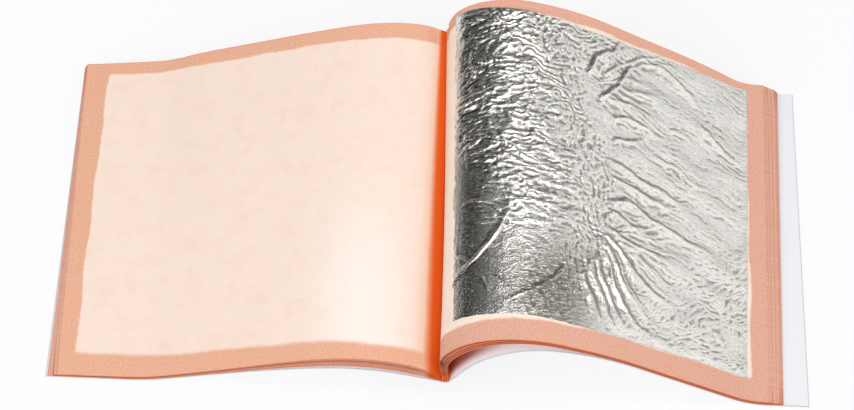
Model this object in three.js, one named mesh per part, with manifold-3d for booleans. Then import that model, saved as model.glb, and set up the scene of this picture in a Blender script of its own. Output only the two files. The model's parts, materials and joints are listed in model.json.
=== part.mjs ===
// Silver leaf booklet, lying open on a table.
// Thirteen folded sheets of rouged tissue make 26 pages. Two wire staples stitch them through the fold
// into a card cover, and a square of beaten silver leaf lies between each page and the next.
// X runs across the booklet, Y along its fold and Z up. Lengths are millimetres, headings degrees.

import * as THREE from 'three';
import Module from 'manifold-3d';
import { mergeVertices } from 'three/addons/utils/BufferGeometryUtils.js';

const wasm = await Module();
wasm.setup();

// Tissue pages. Each folded sheet gives two of them, page n and page 27 - n.
const pageWidth = 108;
const pageHeight = 104;
const pageThickness = 0.025;
const sheetCount = 13;
const pageCount = 2 * sheetCount;

// The booklet lies open after this many pages
const leftPageCount = 4;

// Card cover, trimmed flush with the pages
const coverWidth = pageWidth;
const coverThickness = 0.3;

// Silver leaf, laid a little askew on its page
const leafSide = 95;
const leafThickness = 0.008;
const leafSkew = 1;

// Free air between neighbours that lie on each other
const foldAir = 0.025;
const leafAir = 0.012;
const coverAir = 0.1;

// Width of the slit between the two halves of a fold
const foldSlit = 0.06;

// Wire staples, and where their middles lie along the fold
const wireDiameter = 0.4;
const wireAir = 0.2;
const crownLength = 12;
const clinchLength = 4.5;
const wireBend = 0.5;
const stapleAt = { staple_near: 26, staple_far: 78 };

// The fold stands off the table, higher at its far end, which also lies a little to the left
const nearFoldHeight = 6.4;
const farFoldHeight = 23.6;
const farFoldShift = -3.3;

// Outer strips of the covers that lie flat on the table, and the run over which the card bends flat
const frontStrip = 22;
const backStrip = 11;
const touchdownRun = 10;

// Headings of the covers at the two ends of the fold, as [distance from the fold, heading].
// The slope down to the table follows the last one.
const rightward = 0;
const leftward = 180;
const backCoverBend = {
  near: [[0, 56], [8, 56], [36, -7]],
  far: [[0, 46], [7, 40], [24, -13]],
};
const frontCoverBend = {
  near: [[0, 163], [12, 166], [34, 187]],
  far: [[0, 177], [16, 195]],
};
const slopeStart = { near: 58, far: 46 };

// How high the lowest and the top page of each block stand off the stack beneath them,
// as [distance from the fold along the cover, height]
const rightLoft = {
  near: {
    lowest: [[1, 0], [3, 1.6], [6, 3.9], [10, 5.2], [18, 5.3], [26, 3.6], [35, 1.6], [46, 0.2], [54, 0]],
    top: [[1, 0.8], [4, 3.4], [8, 6.4], [12, 7.4], [18, 7], [26, 4.5], [35, 1.9], [46, 0.3], [54, 0]],
  },
  far: {
    lowest: [[1, 0], [4, 1.5], [8, 2.9], [20, 3.3], [34, 2.6], [46, 1.8], [94, 0.3], [108, 0.1]],
    top: [[1, 0.6], [4, 3], [8, 4.8], [12, 5.4], [20, 5.7], [34, 5.6], [60, 4.8], [80, 4.6], [92, 3.2],
      [102, 1.2]],
  },
};
const leftLoft = {
  near: {
    lowest: [[1, 0], [6, 0.7], [12, 1.1], [30, 1.1], [46, 0.5], [60, 0.2], [108, 0]],
    top: [[1, 0.3], [3, 1.8], [6, 3.5], [10, 4.3], [18, 4.6], [30, 4.2], [40, 3.3], [52, 1.9], [60, 1.2],
      [108, 0.5]],
  },
  far: {
    lowest: [[1, 0], [10, 1], [30, 2], [60, 2], [80, 1.6], [97, 0.3], [108, 0]],
    top: [[1, 0.2], [6, 2.7], [10, 3.9], [15, 5], [22, 6], [60, 5.9], [80, 6.1], [88, 4.7], [97, 2],
      [108, 0.3]],
  },
};

// The right block parts at its innermost sheet: the share of the loft at the pages on either side
const loftBelowParting = 0.42;
const loftAboveParting = 0.5;

// Creases of the sheets, measured along the cover. Before the first one, a sheet turns in its fold by
// equal steps. Pages that cross over the fold take more of them than pages that turn to their own side.
const creases = [1.9, 3.4, 5.5, 8.5, 12, 16, 20.5, 26, 32, 39, 48, 62];
const creaseSpacing = 1;
const touchdownSteps = 2;
const pageFoldStep = 24;
const foldStepsAcross = 5;
const foldStepsBeside = 2;
const coverFoldSteps = 3;

// The left block has its first crease further out, because its pages leave the fold at a flatter angle
const rightFirstCrease = creases[0];
const leftFirstCrease = creases[1];

// Leaf starts at this crease of its page
const leafFirstCrease = creases[2];

// A page leaves its fold over this run
const stemRun = 1.6;

// Lofts are rounded off over this share of the distance from the fold
const loftRounding = 0.18;
const roundingShifts = [-1, -0.5, 0, 0.5, 1];

// Covers are drawn as this many short runs. They slope down to the table at less than the steepest slope.
const outlineSteps = 440;
const steepestSlope = 70;
const slopeTolerance = 1e-9;

// Flat sides of the staple holes and of a quarter of the wire, and rings along a staple
const holeSides = 6;
const wireSegments = 3;
const wireRings = 40;

const silver = new THREE.MeshStandardMaterial({ color: 0xc9c9c7, metalness: 1, roughness: 0.25 });
const tissue = new THREE.MeshStandardMaterial({ color: 0xf0b899, metalness: 0, roughness: 0.85 });
const card = new THREE.MeshStandardMaterial({ color: 0xf4f4f6, metalness: 0, roughness: 0.7 });
const steel = new THREE.MeshStandardMaterial({ color: 0xb8babd, metalness: 1, roughness: 0.35 });

const ends = ['near', 'far'];
const foldAt = {
  near: new THREE.Vector3(0, 0, nearFoldHeight),
  far: new THREE.Vector3(farFoldShift, pageHeight, farFoldHeight),
};
const alongFold = foldAt.far.clone().sub(foldAt.near).normalize();
const outOfFold = new THREE.Vector3(0, 0, 1).addScaledVector(alongFold, -alongFold.z).normalize();

// Distances between the middles of two pages, in the fold and where leaf lies between them
const foldPitch = pageThickness + foldAir;
const stackPitch = pageThickness + leafThickness + 2 * leafAir;

// Radii of the nested folds. Sheet 1 is the outermost one.
const innermostRadius = wireDiameter / 2 + wireAir + pageThickness / 2;
const outermostRadius = innermostRadius + (sheetCount - 1) * foldPitch;
const lowestPageHeight = coverThickness / 2 + coverAir + pageThickness / 2;
const coverRadius = outermostRadius + lowestPageHeight;

// The outlines run a little past the covers and the pages, which are then trimmed
const outlineSpare = 2;
const outlineRun = coverWidth + outlineSpare;
const leafMargin = (pageHeight - leafSide) / 2;

function foldRadius(page) {
  const sheet = Math.min(page, pageCount + 1 - page);
  return innermostRadius + (sheetCount - sheet) * foldPitch;
}

// Pages of the right block from the front half of the booklet cross over the fold
function crossesFold(page) {
  return page > leftPageCount && page <= sheetCount;
}

// Piecewise linear value of [place, value] pairs
function valueAt(pairs, place) {
  const next = pairs.findIndex(([at]) => at > place);
  if (next === 0) return pairs[0][1];
  if (next < 0) return pairs.at(-1)[1];
  const [from, low] = pairs[next - 1];
  const [to, high] = pairs[next];
  return low + (high - low) * (place - from) / (to - from);
}

// The same with its corners rounded off
function smoothValueAt(pairs, place) {
  const reach = loftRounding * place;
  const sum = roundingShifts.reduce((total, shift) => total + valueAt(pairs, place + shift * reach), 0);
  return sum / roundingShifts.length;
}

// Outline of a sheet from its start, as equally spaced points with headings
function walk(start, headings) {
  const stride = outlineRun / outlineSteps;
  const points = [{ ...start, heading: valueAt(headings, 0) }];
  for (let step = 1; step <= outlineSteps; step += 1) {
    const last = points.at(-1);
    const middle = THREE.MathUtils.degToRad(valueAt(headings, (step - 0.5) * stride));
    points.push({
      x: last.x + stride * Math.cos(middle),
      z: last.z + stride * Math.sin(middle),
      heading: valueAt(headings, step * stride),
    });
  }
  return points;
}

// Point on an outline at a distance from the fold, raised along the outline's own normal
function raisedPoint(outline, side, distance, height) {
  const place = distance / outlineRun * (outline.length - 1);
  const index = Math.min(Math.floor(place), outline.length - 2);
  const share = place - index;
  const before = outline[index];
  const after = outline[index + 1];
  const heading = THREE.MathUtils.degToRad(THREE.MathUtils.lerp(before.heading, after.heading, share));
  return {
    x: THREE.MathUtils.lerp(before.x, after.x, share) - side * height * Math.sin(heading),
    z: THREE.MathUtils.lerp(before.z, after.z, share) + side * height * Math.cos(heading),
  };
}

// A cover turns out of its fold, follows its bends, slopes down and lies flat on the table
function coverOutline(end, side, bend, strip) {
  const flat = side > 0 ? rightward : leftward;
  const start = { x: foldAt[end].x + side * foldSlit / 2, z: foldAt[end].z - coverRadius };
  const foldRun = coverRadius * THREE.MathUtils.degToRad(Math.abs(bend[0][1] - flat));
  const headings = (slope) => [
    [0, flat],
    [foldRun, bend[0][1]],
    ...bend.slice(1),
    [slopeStart[end], flat - side * slope],
    [coverWidth - strip - touchdownRun, flat - side * slope],
    [coverWidth - strip, flat],
  ];
  let shallow = 0;
  let steep = steepestSlope;
  while (steep - shallow > slopeTolerance) {
    const slope = (shallow + steep) / 2;
    const landing = walk(start, headings(slope)).at(-1).z;
    if (landing > coverThickness / 2) shallow = slope;
    else steep = slope;
  }
  return { foldRun, points: walk(start, headings(steep)) };
}

// A block is a cover with the pages that lie on it
function makeBlock(side, bend, strip, loft, firstCrease) {
  const covers = {};
  for (const end of ends) covers[end] = coverOutline(end, side, bend[end], strip);
  const touchdown = coverWidth - strip - touchdownRun;
  const columns = creases.filter((crease) => crease >= firstCrease && crease < touchdown - creaseSpacing);
  for (let step = 0; step <= touchdownSteps; step += 1) {
    columns.push(touchdown + touchdownRun * step / touchdownSteps);
  }
  columns.push(outlineRun);
  return { side, covers, columns, loft };
}

const rightBlock = makeBlock(1, backCoverBend, backStrip, rightLoft, rightFirstCrease);
const leftBlock = makeBlock(-1, frontCoverBend, frontStrip, leftLoft, leftFirstCrease);

// Share of the loft between the lowest and the top page of its block that a page stands on
function loftShare(page) {
  if (page <= leftPageCount) return (page - 1) / (leftPageCount - 1);
  if (page > sheetCount) return loftBelowParting * (pageCount - page) / (sheetCount - 1);
  const share = (sheetCount - page) / (sheetCount - leftPageCount - 1);
  return THREE.MathUtils.lerp(loftAboveParting, 1, share);
}

// Height of the middle of a page over the middle of its cover
function pageHeightAt(block, end, page, distance) {
  const { lowest, top } = block.loft[end];
  const pagesBelow = block.side > 0 ? pageCount - page : page - 1;
  const lowestLoft = smoothValueAt(lowest, distance);
  const topLoft = Math.max(smoothValueAt(top, distance), lowestLoft);
  const loft = THREE.MathUtils.lerp(lowestLoft, topLoft, loftShare(page));
  const laid = lowestPageHeight + pagesBelow * stackPitch + loft;
  const inFold = coverRadius + (crossesFold(page) ? 1 : -1) * foldRadius(page);
  const { foldRun } = block.covers[end];
  return THREE.MathUtils.lerp(inFold, laid, THREE.MathUtils.smoothstep(distance, foldRun, foldRun + stemRun));
}

// Outline of a page, or of a layer that lies off its middle: round the fold, then over the creases
function pageOutline(block, end, page, offset) {
  const across = crossesFold(page);
  const turnSide = across ? -1 : block.side;
  const radius = foldRadius(page) + (across ? offset : -offset);
  const points = [];
  const steps = across ? foldStepsAcross : foldStepsBeside;
  for (let step = 0; step <= steps; step += 1) {
    const angle = THREE.MathUtils.degToRad(step * pageFoldStep);
    points.push({
      x: foldAt[end].x + turnSide * (foldSlit / 2 + radius * Math.sin(angle)),
      z: foldAt[end].z - radius * Math.cos(angle),
    });
  }
  for (const column of block.columns) {
    const height = pageHeightAt(block, end, page, column) + offset;
    points.push(raisedPoint(block.covers[end].points, block.side, column, height));
  }
  return points;
}

function coverLayer(block, end, offset) {
  const { foldRun, points } = block.covers[end];
  const distances = [...block.columns];
  for (let step = coverFoldSteps; step >= 0; step -= 1) distances.unshift(foldRun * step / coverFoldSteps);
  return distances.map((distance) => raisedPoint(points, block.side, distance, offset));
}

// Closed sheet between two layers, each of which gives the outline of one face at either end of the fold
function sheetSolid(lower, upper, side) {
  const count = lower.near.length;
  const positions = [];
  for (const outline of [lower.near, lower.far, upper.near, upper.far]) {
    const y = outline === lower.near || outline === upper.near ? 0 : pageHeight;
    for (const point of outline) positions.push(point.x, y, point.z);
  }
  const [lowerNear, lowerFar, upperNear, upperFar] = [0, 1, 2, 3].map((outline) => outline * count);
  const triangles = [];
  const quad = (a, b, c, d) => {
    if (side > 0) triangles.push(a, b, c, a, c, d);
    else triangles.push(a, c, b, a, d, c);
  };
  for (let column = 0; column < count - 1; column += 1) {
    const next = column + 1;
    quad(upperNear + column, upperNear + next, upperFar + next, upperFar + column);
    quad(lowerNear + column, lowerFar + column, lowerFar + next, lowerNear + next);
    quad(lowerNear + column, lowerNear + next, upperNear + next, upperNear + column);
    quad(lowerFar + next, lowerFar + column, upperFar + column, upperFar + next);
  }
  const last = count - 1;
  quad(upperNear, upperFar, lowerFar, lowerNear);
  quad(lowerNear + last, lowerFar + last, upperFar + last, upperNear + last);
  return new wasm.Manifold(new wasm.Mesh({
    numProp: 3,
    vertProperties: new Float32Array(positions),
    triVerts: new Uint32Array(triangles),
  }));
}

// Point and direction of an outline after a run along it
function pointAfter(outline, run) {
  let left = run;
  for (let index = 1; index < outline.length; index += 1) {
    const from = outline[index - 1];
    const to = outline[index];
    const length = Math.hypot(to.x - from.x, to.z - from.z);
    const direction = { x: (to.x - from.x) / length, z: (to.z - from.z) / length };
    if (left <= length || index === outline.length - 1) {
      return { x: from.x + left * direction.x, z: from.z + left * direction.z, direction };
    }
    left -= length;
  }
  return null;
}

// Cuts a sheet square across, where its two outlines have run the given lengths
function trimmed(solid, outlines, runs) {
  const [near, far] = ends.map((end) => pointAfter(outlines[end], runs[end]));
  const edge = new THREE.Vector3(far.x - near.x, pageHeight, far.z - near.z).normalize();
  const outward = new THREE.Vector3(
    near.direction.x + far.direction.x,
    0,
    near.direction.z + far.direction.z,
  );
  outward.addScaledVector(edge, -edge.dot(outward)).normalize();
  const inward = outward.clone().negate();
  return solid.trimByPlane(inward.toArray(), inward.dot(new THREE.Vector3(near.x, 0, near.z)));
}

function geometryOf(solid) {
  const { vertProperties, triVerts } = solid.getMesh();
  const geometry = new THREE.BufferGeometry();
  geometry.setAttribute('position', new THREE.BufferAttribute(new Float32Array(vertProperties), 3));
  geometry.setIndex(new THREE.BufferAttribute(new Uint32Array(triVerts), 1));
  geometry.computeVertexNormals();
  return geometry;
}

function solidOf(geometry) {
  const bare = geometry.clone();
  bare.deleteAttribute('normal');
  bare.deleteAttribute('uv');
  const merged = mergeVertices(bare);
  return new wasm.Manifold(new wasm.Mesh({
    numProp: 3,
    vertProperties: new Float32Array(merged.attributes.position.array),
    triVerts: new Uint32Array(merged.index.array),
  }));
}

function pointInFold(along, height) {
  return foldAt.near.clone().addScaledVector(alongFold, along).addScaledVector(outOfFold, height);
}

// The legs of a staple go through the fold at these two places along it
function legPlaces(middle) {
  return [middle - crownLength / 2, middle + crownLength / 2];
}

const crownHeight = -(coverRadius + coverThickness / 2 + wireAir / 2 + wireDiameter / 2);

// Holes for the staple legs, from below the crown up to the clinched ends
function makeLegHoles() {
  const radius = wireDiameter / 2 + wireAir;
  const bottom = crownHeight - wireDiameter;
  const top = wireDiameter / 2;
  const turn = new THREE.Quaternion().setFromUnitVectors(new THREE.Vector3(0, 1, 0), outOfFold);
  const holes = [];
  for (const middle of Object.values(stapleAt)) {
    for (const place of legPlaces(middle)) {
      const hole = new THREE.CylinderGeometry(radius, radius, top - bottom, holeSides);
      hole.applyQuaternion(turn);
      const centre = pointInFold(place, (top + bottom) / 2);
      hole.translate(centre.x, centre.y, centre.z);
      holes.push(solidOf(hole));
    }
  }
  return holes;
}

const legHoles = makeLegHoles();

function pierced(solid) {
  return legHoles.reduce((rest, hole) => rest.subtract(hole), solid);
}

function makeCover(block) {
  const layers = {};
  for (const [layer, offset] of Object.entries({ lower: -1, middle: 0, upper: 1 })) {
    layers[layer] = {};
    for (const end of ends) layers[layer][end] = coverLayer(block, end, offset * coverThickness / 2);
  }
  const sheet = sheetSolid(layers.lower, layers.upper, block.side);
  return pierced(trimmed(sheet, layers.middle, { near: coverWidth, far: coverWidth }));
}

function pageLayer(block, page, offset) {
  return Object.fromEntries(ends.map((end) => [end, pageOutline(block, end, page, offset)]));
}

function makePage(block, page) {
  const lower = pageLayer(block, page, -pageThickness / 2);
  const upper = pageLayer(block, page, pageThickness / 2);
  const sheet = sheetSolid(lower, upper, block.side);
  return pierced(trimmed(sheet, pageLayer(block, page, 0), { near: pageWidth, far: pageWidth }));
}

// A leaf starts at a crease of the page that it lies on
function makeLeaf(block, page) {
  const foldSteps = crossesFold(page) ? foldStepsAcross : foldStepsBeside;
  const start = foldSteps + 1 + block.columns.indexOf(leafFirstCrease);
  const bottom = pageThickness / 2 + leafAir;
  const layerFrom = (offset) => {
    const layer = pageLayer(block, page, offset);
    return { near: layer.near.slice(start), far: layer.far.slice(start) };
  };
  const lower = layerFrom(bottom);
  const upper = layerFrom(bottom + leafThickness);
  const skew = -block.side * leafSkew;
  const sheet = trimmed(sheetSolid(lower, upper, block.side), lower, {
    near: leafSide + skew,
    far: leafSide - skew,
  });
  return sheet.trimByPlane([0, 1, 0], leafMargin).trimByPlane([0, -1, 0], leafMargin - pageHeight);
}

// A staple is bent from one wire: a clinched end, a leg, the crown, a leg and a clinched end
function makeStaple(middle) {
  const [nearLeg, farLeg] = legPlaces(middle);
  const corners = [
    [nearLeg + clinchLength, 0],
    [nearLeg, 0],
    [nearLeg, crownHeight],
    [farLeg, crownHeight],
    [farLeg, 0],
    [farLeg - clinchLength, 0],
  ].map(([along, height]) => pointInFold(along, height));
  const path = new THREE.CurvePath();
  let from = corners[0];
  for (let index = 1; index < corners.length - 1; index += 1) {
    const corner = corners[index];
    const next = corners[index + 1];
    const before = corner.clone().add(from.clone().sub(corner).setLength(wireBend));
    const after = corner.clone().add(next.clone().sub(corner).setLength(wireBend));
    path.add(new THREE.LineCurve3(from, before));
    path.add(new THREE.QuadraticBezierCurve3(before, corner, after));
    from = after;
  }
  path.add(new THREE.LineCurve3(from, corners.at(-1)));
  const section = new THREE.Shape().absarc(0, 0, wireDiameter / 2, 0, 2 * Math.PI);
  return new THREE.ExtrudeGeometry(section, {
    extrudePath: path,
    steps: wireRings,
    curveSegments: wireSegments,
  });
}

function twoDigits(number) {
  return String(number).padStart(2, '0');
}

const model = new THREE.Group();

function addPiece(name, geometry, material) {
  const mesh = new THREE.Mesh(geometry, material);
  mesh.name = name;
  model.add(mesh);
}

addPiece('cover_front', geometryOf(makeCover(leftBlock)), card);
addPiece('cover_back', geometryOf(makeCover(rightBlock)), card);
for (let page = 1; page <= pageCount; page += 1) {
  const block = page <= leftPageCount ? leftBlock : rightBlock;
  addPiece(`page_${twoDigits(page)}`, geometryOf(makePage(block, page)), tissue);
}
for (let leaf = 1; leaf < pageCount; leaf += 1) {
  const onLeft = leaf < leftPageCount;
  const page = onLeft ? leaf : leaf + 1;
  addPiece(`leaf_${twoDigits(leaf)}`, geometryOf(makeLeaf(onLeft ? leftBlock : rightBlock, page)), silver);
}
for (const [name, middle] of Object.entries(stapleAt)) addPiece(name, makeStaple(middle), steel);

// The origin lies on the table, under the middle of the booklet
const bounds = new THREE.Box3().setFromObject(model);
const centre = bounds.getCenter(new THREE.Vector3());
model.position.set(-centre.x, -centre.y, 0);

export default model;
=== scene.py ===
# Silver leaf booklet, lying open on a white table.
# A folded card makes the cover, 26 pages of rouged tissue turn in its fold, and squares of beaten silver
# leaf lie between the pages. Outlines are worked out in millimetres, in the frame of the solid part.

import bmesh
import bpy
import json
import math
import numpy as np
from mathutils import Matrix, Vector


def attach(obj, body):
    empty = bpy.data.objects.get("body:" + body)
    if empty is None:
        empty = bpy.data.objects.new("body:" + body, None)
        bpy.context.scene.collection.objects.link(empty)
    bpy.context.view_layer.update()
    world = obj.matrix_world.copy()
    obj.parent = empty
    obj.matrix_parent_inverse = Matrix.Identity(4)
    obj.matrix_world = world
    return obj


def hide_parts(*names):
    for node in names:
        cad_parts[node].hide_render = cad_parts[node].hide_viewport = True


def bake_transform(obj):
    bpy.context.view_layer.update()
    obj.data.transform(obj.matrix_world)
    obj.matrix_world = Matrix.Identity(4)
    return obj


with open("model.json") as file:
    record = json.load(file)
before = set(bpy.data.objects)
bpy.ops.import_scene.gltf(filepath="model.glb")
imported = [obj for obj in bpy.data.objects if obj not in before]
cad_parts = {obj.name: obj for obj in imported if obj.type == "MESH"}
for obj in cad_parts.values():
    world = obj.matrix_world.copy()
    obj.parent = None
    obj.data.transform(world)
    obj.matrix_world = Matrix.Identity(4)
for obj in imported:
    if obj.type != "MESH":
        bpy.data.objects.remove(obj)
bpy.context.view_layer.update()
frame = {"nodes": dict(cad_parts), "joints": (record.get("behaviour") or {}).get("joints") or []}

MM = 0.001

# Sizes of the sheets
page_width = 108
page_height = 104
page_thickness = 0.025
sheet_count = 13
page_count = 2 * sheet_count
left_page_count = 4
top_left_page = left_page_count
top_right_page = left_page_count + 1
cover_width = page_width
cover_thickness = 0.3
leaf_side = 95
leaf_thickness = 0.008

# Air between neighbours, the wire and the slit in the fold
fold_air = 0.025
leaf_air = 0.012
cover_air = 0.1
fold_slit = 0.06
wire_diameter = 0.4
wire_air = 0.2

# Outer strips of the covers that lie flat, and the run over which the card bends flat
front_strip = 22
back_strip = 11
touchdown_run = 10

# Headings of the covers at the near and the far end, as [distance from the fold, heading in degrees]
back_cover_bend = {
    "near": [[0, 56], [8, 56], [36, -7]],
    "far": [[0, 46], [7, 40], [24, -13]],
}
front_cover_bend = {
    "near": [[0, 163], [12, 166], [34, 187]],
    "far": [[0, 177], [16, 195]],
}

# Distance from the fold where the cover's straight slope down to the table starts
slope_start = {"near": 58, "far": 46}

# Height of the lowest and the top page of each block off the stack beneath them
right_loft = {
    "near": {
        "lowest": [[1, 0], [3, 1.6], [6, 3.9], [10, 5.2], [18, 5.3], [26, 3.6], [35, 1.6], [46, 0.2],
                   [54, 0]],
        "top": [[1, 0.8], [4, 3.4], [8, 6.4], [12, 7.4], [18, 7], [26, 4.5], [35, 1.9], [46, 0.3], [54, 0]],
    },
    "far": {
        "lowest": [[1, 0], [4, 1.5], [8, 2.9], [20, 3.3], [34, 2.6], [46, 1.8], [94, 0.3], [108, 0.1]],
        "top": [[1, 0.6], [4, 3], [8, 4.8], [12, 5.4], [20, 5.7], [34, 5.6], [60, 4.8], [80, 4.6], [92, 3.2],
                [102, 1.2]],
    },
}
left_loft = {
    "near": {
        "lowest": [[1, 0], [6, 0.7], [12, 1.1], [30, 1.1], [46, 0.5], [60, 0.2], [108, 0]],
        "top": [[1, 0.3], [3, 1.8], [6, 3.5], [10, 4.3], [18, 4.6], [30, 4.2], [40, 3.3], [52, 1.9],
                [60, 1.2], [108, 0.5]],
    },
    "far": {
        "lowest": [[1, 0], [10, 1], [30, 2], [60, 2], [80, 1.6], [97, 0.3], [108, 0]],
        "top": [[1, 0.2], [6, 2.7], [10, 3.9], [15, 5], [22, 6], [60, 5.9], [80, 6.1], [88, 4.7], [97, 2],
                [108, 0.3]],
    },
}

# The right block parts above its thirteenth page: shares of the loft just below and above the gap
loft_below_parting = 0.42
loft_above_parting = 0.5

# Corners in the loft are rounded over this share of their distance from the fold
loft_rounding = 0.18
rounding_shifts = [-1, -0.5, 0, 0.5, 1]

# Run over which a page leaves its ring in the fold for its place in the stack
stem_run = 1.6

# Pages cling together in groups: the first page of each, the share by which the others are drawn to it,
# and how much shorter their fore-edges are for each page of that pull
clinging_from = [1, 3, 4, 5, 6, 8, 11, 14, 17, 20, 23]
clinging = 0.75
edge_step = 0.16

# Pages whose cut edges are painted dark red-brown: painted shade for the dark lines between the groups of
# the stack
painted_shade_cut_pages = [3, 8, 9, 10, 14, 15, 16, 20, 21, 22]

# Columns of a sheet's grid: the first on each side, and the pitches near the fold and beyond
first_column = {1: 1.9, -1: 3.4}
close_pitch = 0.7
close_until = 30
wide_pitch = 1.5
grid_rows = 14

# A page that crosses the fold turns further round it than the others, in degrees
ring_step = 12
crossing_turn = 120
plain_turn = 48

# Columns of a cover's grid, and where its turn out of the fold ends
card_columns = {"in_fold": 8, "turning": 7, "outside": 70}
card_turn_end = 6

# Steps of an outline, and of the search for the slope that brings a cover down to the table
outline_steps = 440
steepest_slope = 70
slope_halvings = 40

# The fold, as its hinge has it
fold_hinge = next(joint for joint in frame["joints"] if joint["name"] == "front_cover_hinge")
fold_start = np.array(fold_hinge["pos_m"]) / MM
fold_direction = np.array(fold_hinge["axis"])
fold_end = fold_start + fold_direction * page_height / fold_direction[1]
fold_at = {"near": fold_start, "far": fold_end}
ends = ("near", "far")

# Places of the sheets in the fold, round the wire, and in the stack
fold_pitch = page_thickness + fold_air
stack_pitch = page_thickness + leaf_thickness + 2 * leaf_air
innermost_radius = wire_diameter / 2 + wire_air + page_thickness / 2
outermost_radius = innermost_radius + (sheet_count - 1) * fold_pitch
lowest_page_height = cover_thickness / 2 + cover_air + page_thickness / 2
cover_radius = outermost_radius + lowest_page_height
outline_run = cover_width + 2
leaf_margin = (page_height - leaf_side) / 2

# The cut rim of a sheet meets its faces at more than this angle
rim_angle = math.radians(50)

# UV maps count in units of this many millimetres
flat_unit = 100

# Hidden leaves: where they start from the fold, how far they lie out of square at most, the seed of that
# and its change from leaf to leaf, and the rows and columns of their grid
hidden_leaf_start = 6.5
most_skew = 1.5
skew_seed = 20
skew_change = 0.37
hidden_leaf_grid = (30, 90)

# Distances from the fold that bound where the sheets would bend as they turn; they only place the seam of a
# sheet with two bends
right_bend = (0, 40)
left_bend = (0, 34)
left_page_bend = (42, 75)
top_page_root_bend = (0, 5)
top_page_bend = (7, 95)


def table_values(pairs, places):
    at, values = zip(*pairs)
    return np.interp(places, at, values)


def smooth_share(share):
    share = np.clip(share, 0, 1)
    return share * share * (3 - 2 * share)


def ease(value, low, high):
    return smooth_share((value - low) / (high - low))


def band(value, low, high, soft):
    return ease(value, low - soft, low + soft) * (1 - ease(value, high - soft, high + soft))


def smooth_table_values(pairs, places):
    places = np.asarray(places, float)
    shifted = [table_values(pairs, places + shift * loft_rounding * places) for shift in rounding_shifts]
    return np.mean(shifted, axis=0)


def walk(start, headings):
    """Outline of a card from its start, as places, headings and distances."""
    stride = outline_run / outline_steps
    distances = np.arange(outline_steps + 1) * stride
    middles = np.radians(table_values(headings, distances[:-1] + stride / 2))
    x = start[0] + np.concatenate([[0], np.cumsum(stride * np.cos(middles))])
    z = start[1] + np.concatenate([[0], np.cumsum(stride * np.sin(middles))])
    return {"x": x, "z": z, "heading": table_values(headings, distances), "distance": distances}


def cover_outline(end, side, bend, strip):
    """A cover turns out of its fold, follows its bends, slopes down and lies flat on the table."""
    flat = 0 if side > 0 else 180
    start = (fold_at[end][0] + side * fold_slit / 2, fold_at[end][2] - cover_radius)
    fold_run = cover_radius * math.radians(abs(bend[0][1] - flat))
    shallow, steep = 0, steepest_slope
    for _ in range(slope_halvings):
        slope = (shallow + steep) / 2
        headings = [[0, flat], [fold_run, bend[0][1]], *bend[1:]]
        headings += [[slope_start[end], flat - side * slope]]
        headings += [[cover_width - strip - touchdown_run, flat - side * slope], [cover_width - strip, flat]]
        outline = walk(start, headings)
        if outline["z"][-1] > cover_thickness / 2:
            shallow = slope
        else:
            steep = slope
    outline["fold_run"] = fold_run
    return outline


def raised_points(outline, side, distances, heights):
    """Places on an outline at distances from the fold, raised along its normal."""
    heading = np.radians(np.interp(distances, outline["distance"], outline["heading"]))
    x = np.interp(distances, outline["distance"], outline["x"]) - side * heights * np.sin(heading)
    z = np.interp(distances, outline["distance"], outline["z"]) + side * heights * np.cos(heading)
    return x, z


def make_block(side, bend, strip, loft):
    covers = {end: cover_outline(end, side, bend[end], strip) for end in ends}
    return {"side": side, "covers": covers, "loft": loft}


right_block = make_block(1, back_cover_bend, back_strip, right_loft)
left_block = make_block(-1, front_cover_bend, front_strip, left_loft)


def block_of(page):
    return left_block if page <= left_page_count else right_block


def crosses_fold(page):
    return left_page_count < page <= sheet_count


def fold_radius(page):
    """Radius of a page's ring in the fold. Sheet 1 holds the first and the last page, and lies outermost."""
    sheet = min(page, page_count + 1 - page)
    return innermost_radius + (sheet_count - sheet) * fold_pitch


def cling_page(page):
    """Where a page stands in its block: drawn towards the first page of its group."""
    first = max(start for start in clinging_from if start <= page)
    return page + (first - page) * clinging


def loft_share(page):
    """Where a page lies between the lowest page of its block, at 0, and the top page, at 1."""
    place = cling_page(page)
    if page <= left_page_count:
        return (place - 1) / (left_page_count - 1)
    if page > sheet_count:
        return loft_below_parting * (page_count - place) / (sheet_count - 1)
    share = (sheet_count - place) / (sheet_count - left_page_count - 1)
    return loft_above_parting + (1 - loft_above_parting) * share


def page_heights(page, end, distances):
    """Heights of the middle of a page over the middle of its cover."""
    block = block_of(page)
    loft = block["loft"][end]
    pages_below = page_count - page if block["side"] > 0 else page - 1
    lowest = smooth_table_values(loft["lowest"], distances)
    top = np.maximum(smooth_table_values(loft["top"], distances), lowest)
    laid = lowest_page_height + pages_below * stack_pitch + lowest + (top - lowest) * loft_share(page)
    in_fold = cover_radius + (1 if crosses_fold(page) else -1) * fold_radius(page)
    fold_run = block["covers"][end]["fold_run"]
    return in_fold + (laid - in_fold) * smooth_share((np.asarray(distances) - fold_run) / stem_run)


def laid_points(page, end, distances, offset):
    block = block_of(page)
    heights = page_heights(page, end, distances) + offset
    return raised_points(block["covers"][end], block["side"], distances, heights)


def ring_points(page, end, offset):
    """The part of a page that turns round the fold."""
    across = crosses_fold(page)
    turn_side = -1 if across else block_of(page)["side"]
    radius = fold_radius(page) + (offset if across else -offset)
    turn = crossing_turn if across else plain_turn
    angles = np.radians(np.arange(0, turn + 1, ring_step))
    x = fold_at[end][0] + turn_side * (fold_slit / 2 + radius * np.sin(angles))
    z = fold_at[end][2] - radius * np.cos(angles)
    return x, z


def column_distances(side, last):
    """Places of the columns of a sheet's grid, closer together where it bends most."""
    close = np.arange(first_column[side], close_until, close_pitch)
    wide = np.arange(close[-1] + wide_pitch, last - wide_pitch / 2, wide_pitch)
    return np.concatenate([close, wide])


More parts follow.
